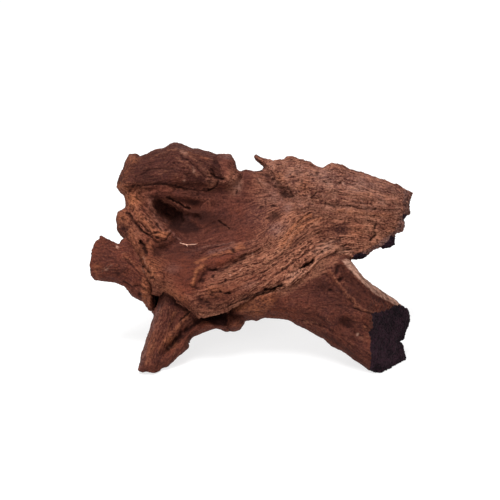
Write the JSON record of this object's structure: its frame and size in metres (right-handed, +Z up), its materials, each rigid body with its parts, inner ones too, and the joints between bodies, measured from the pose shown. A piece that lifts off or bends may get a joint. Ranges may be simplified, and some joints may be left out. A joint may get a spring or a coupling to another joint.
{
  "type": "driftwood",
  "caption": "Weathered driftwood: a broad dished slab of root wood with a rolled crest, standing on three legs, for display or as shelter in a tank.",
  "frame": {"origin": "middle of the footprint of the whole piece, on the surface that the three feet stand on", "axes": "+X along the piece towards the broken end of the wing and the sawn leg, +Y away from the viewer of the dished side, +Z up"},
  "size_m": [0.3306, 0.1936, 0.1805],
  "materials": {
    "weathered_wood": "rough, matte, fibrous, open grain with pits",
    "root_wood": "smoother, matte to slightly waxy, charred black on the sawn end"
  },
  "bodies": {
    "root": {"slab": "weathered_wood", "stub": "root_wood", "left_leg": "root_wood", "right_leg": "root_wood", "back_leg": "root_wood"}
  },
  "joints": []
}
